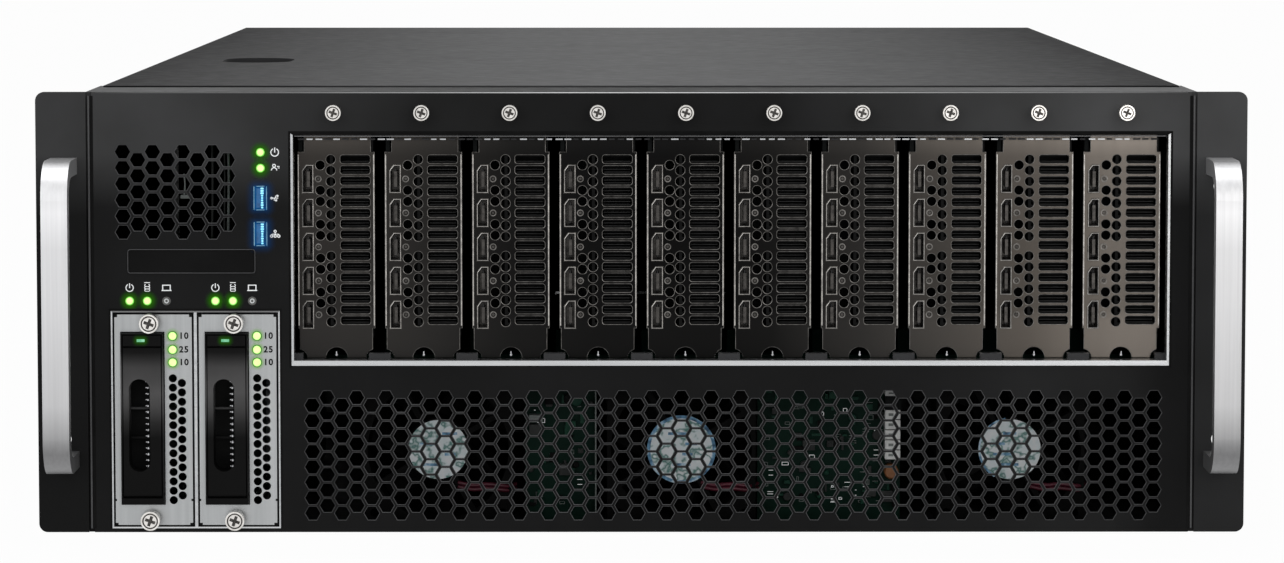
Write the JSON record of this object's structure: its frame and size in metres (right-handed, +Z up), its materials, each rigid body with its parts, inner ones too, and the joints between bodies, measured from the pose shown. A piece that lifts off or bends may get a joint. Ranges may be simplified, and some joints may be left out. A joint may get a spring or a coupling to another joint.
{
  "type": "rack server",
  "caption": "Rack-mount graphics server with a row of card brackets, honeycomb vents, hot-swap drive modules, bow handles, fans and rear power supplies.",
  "frame": {"origin": "middle of the overall box on its underside", "axes": "+Z up, +Y towards the rear, +X to the right seen from the front"},
  "size_m": [0.4826, 0.86, 0.177],
  "materials": {
    "chassis_steel": "black powder-coated sheet steel",
    "panel_black": "fine black powder coat",
    "rear_steel": "bare zinc-plated sheet",
    "ear_black": "black powder coat",
    "handle_aluminium": "brushed along its length",
    "screw_steel": "plain zinc-plated",
    "trim_steel": "bare bright sheet edge",
    "thumbscrew_nickel": "nickel plated",
    "label_black": "black, bare",
    "lamp_green": "lit light pipe",
    "usb_blue": "blue tongue lit by the port",
    "board_green": "green solder mask",
    "deck_steel": "zinc-plated sheet",
    "bracket_nickel": "dark nickel plate",
    "cooler_black": "black anodised",
    "socket_steel": "dark socket shells",
    "fan_black": "black moulded plastic",
    "port_steel": "bright socket shells",
    "heatsink_aluminium": "extruded, bare",
    "memory_green": "green memory boards",
    "cover_black": "dark grey powder coat",
    "faceplate_silver": "satin zinc-plated sheet",
    "sled_steel": "zinc-plated sheet",
    "carrier_black": "black moulded plastic",
    "drive_steel": "plain metal case",
    "psu_steel": "zinc-plated case",
    "latch_green": "green moulded tab"
  },
  "bodies": {
    "chassis": {"chassis_base": "chassis_steel", "front_panel": "panel_black", "upper_vent_grille": "panel_black", "lower_vent_grille": "panel_black", "rear_panel": "rear_steel", "left_ear": "ear_black", "right_ear": "ear_black", "left_handle": "handle_aluminium", "right_handle": "handle_aluminium", "ear_screws": "screw_steel", "opening_trims": "trim_steel", "gpu_thumbscrews": "thumbscrew_nickel", "label_plate": "label_black", "status_leds": "lamp_green", "usb_sockets": "usb_blue", "front_boards": "board_green", "gpu_deck": "deck_steel", "gpu_baseboard": "board_green", "gpu_brackets": "bracket_nickel", "gpu_coolers": "cooler_black", "gpu_boards": "board_green", "display_sockets": "socket_steel", "intake_fan_frames": "fan_black", "rear_fan_frames": "fan_black", "motherboard": "board_green", "rear_ports": "port_steel", "cpu_heatsinks": "heatsink_aluminium", "memory_modules": "memory_green"},
    "cover": {"top_cover": "cover_black"},
    "left_module": {"left_module_faceplate": "faceplate_silver", "left_module_sled": "sled_steel", "left_module_thumbscrews": "thumbscrew_nickel", "left_module_leds": "lamp_green"},
    "left_carrier": {"left_drive_carrier": "carrier_black", "left_drive": "drive_steel"},
    "left_lever": {"left_carrier_lever": "carrier_black"},
    "left_button": {"left_release_button": "carrier_black"},
    "right_module": {"right_module_faceplate": "faceplate_silver", "right_module_sled": "sled_steel", "right_module_thumbscrews": "thumbscrew_nickel", "right_module_leds": "lamp_green"},
    "right_carrier": {"right_drive_carrier": "carrier_black", "right_drive": "drive_steel"},
    "right_lever": {"right_carrier_lever": "carrier_black"},
    "right_button": {"right_release_button": "carrier_black"},
    "intake_rotor_1": {"intake_fan_rotor_1": "fan_black"},
    "intake_rotor_2": {"intake_fan_rotor_2": "fan_black"},
    "intake_rotor_3": {"intake_fan_rotor_3": "fan_black"},
    "rear_rotor_1": {"rear_fan_rotor_1": "fan_black"},
    "rear_rotor_2": {"rear_fan_rotor_2": "fan_black"},
    "rear_rotor_3": {"rear_fan_rotor_3": "fan_black"},
    "rear_rotor_4": {"rear_fan_rotor_4": "fan_black"},
    "supply_1": {"psu_1": "psu_steel"},
    "supply_latch_1": {"psu_latch_1": "latch_green"},
    "supply_2": {"psu_2": "psu_steel"},
    "supply_latch_2": {"psu_latch_2": "latch_green"},
    "supply_3": {"psu_3": "psu_steel"},
    "supply_latch_3": {"psu_latch_3": "latch_green"},
    "supply_4": {"psu_4": "psu_steel"},
    "supply_latch_4": {"psu_latch_4": "latch_green"}
  },
  "joints": [
    {"name": "cover_slide", "type": "slide", "parent": "chassis", "child": "cover", "axis": [0, 1, 0], "range_m": [0, 0.015]},
    {"name": "left_module_slide", "type": "slide", "parent": "chassis", "child": "left_module", "axis": [0, -1, 0], "range_m": [0, 0.2]},
    {"name": "left_carrier_slide", "type": "slide", "parent": "left_module", "child": "left_carrier", "axis": [0, -1, 0], "range_m": [0, 0.11]},
    {"name": "left_lever_hinge", "type": "hinge", "parent": "left_carrier", "child": "left_lever", "pos_m": [-0.19935, -0.3961, 0.0157], "axis": [1, 0, 0], "range_deg": [0, 65]},
    {"name": "left_button_press", "type": "slide", "parent": "left_carrier", "child": "left_button", "axis": [0, 1, 0], "range_m": [0, 0.0015], "stiffness_N_per_m": 500},
    {"name": "right_module_slide", "type": "slide", "parent": "chassis", "child": "right_module", "axis": [0, -1, 0], "range_m": [0, 0.2]},
    {"name": "right_carrier_slide", "type": "slide", "parent": "right_module", "child": "right_carrier", "axis": [0, -1, 0], "range_m": [0, 0.11]},
    {"name": "right_lever_hinge", "type": "hinge", "parent": "right_carrier", "child": "right_lever", "pos_m": [-0.16565, -0.3961, 0.0157], "axis": [1, 0, 0], "range_deg": [0, 65]},
    {"name": "right_button_press", "type": "slide", "parent": "right_carrier", "child": "right_button", "axis": [0, 1, 0], "range_m": [0, 0.0015], "stiffness_N_per_m": 500},
    {"name": "intake_spin_1", "type": "hinge", "parent": "chassis", "child": "intake_rotor_1", "pos_m": [-0.0821, -0.357, 0.0312], "axis": [0, 1, 0], "continuous": true},
    {"name": "intake_spin_2", "type": "hinge", "parent": "chassis", "child": "intake_rotor_2", "pos_m": [0.0161, -0.357, 0.0312], "axis": [0, 1, 0], "continuous": true},
    {"name": "intake_spin_3", "type": "hinge", "parent": "chassis", "child": "intake_rotor_3", "pos_m": [0.1491, -0.357, 0.0312], "axis": [0, 1, 0], "continuous": true},
    {"name": "rear_spin_1", "type": "hinge", "parent": "chassis", "child": "rear_rotor_1", "pos_m": [-0.16245, 0.3845, 0.10935], "axis": [0, 1, 0], "continuous": true},
    {"name": "rear_spin_2", "type": "hinge", "parent": "chassis", "child": "rear_rotor_2", "pos_m": [-0.05415, 0.3845, 0.10935], "axis": [0, 1, 0], "continuous": true},
    {"name": "rear_spin_3", "type": "hinge", "parent": "chassis", "child": "rear_rotor_3", "pos_m": [0.05415, 0.3845, 0.10935], "axis": [0, 1, 0], "continuous": true},
    {"name": "rear_spin_4", "type": "hinge", "parent": "chassis", "child": "rear_rotor_4", "pos_m": [0.16245, 0.3845, 0.10935], "axis": [0, 1, 0], "continuous": true},
    {"name": "supply_slide_1", "type": "slide", "parent": "chassis", "child": "supply_1", "axis": [0, 1, 0], "range_m": [0, 0.17]},
    {"name": "supply_latch_1_pivot", "type": "hinge", "parent": "supply_1", "child": "supply_latch_1", "pos_m": [-0.1473, 0.4092, 0.023], "axis": [0, 0, 1], "range_deg": [0, 10], "stiffness_Nm_per_rad": 0.05},
    {"name": "supply_slide_2", "type": "slide", "parent": "chassis", "child": "supply_2", "axis": [0, 1, 0], "range_m": [0, 0.17]},
    {"name": "supply_latch_2_pivot", "type": "hinge", "parent": "supply_2", "child": "supply_latch_2", "pos_m": [-0.0726, 0.4092, 0.023], "axis": [0, 0, 1], "range_deg": [0, 10], "stiffness_Nm_per_rad": 0.05},
    {"name": "supply_slide_3", "type": "slide", "parent": "chassis", "child": "supply_3", "axis": [0, 1, 0], "range_m": [0, 0.17]},
    {"name": "supply_latch_3_pivot", "type": "hinge", "parent": "supply_3", "child": "supply_latch_3", "pos_m": [0.0021, 0.4092, 0.023], "axis": [0, 0, 1], "range_deg": [0, 10], "stiffness_Nm_per_rad": 0.05},
    {"name": "supply_slide_4", "type": "slide", "parent": "chassis", "child": "supply_4", "axis": [0, 1, 0], "range_m": [0, 0.17]},
    {"name": "supply_latch_4_pivot", "type": "hinge", "parent": "supply_4", "child": "supply_latch_4", "pos_m": [0.0768, 0.4092, 0.023], "axis": [0, 0, 1], "range_deg": [0, 10], "stiffness_Nm_per_rad": 0.05}
  ]
}
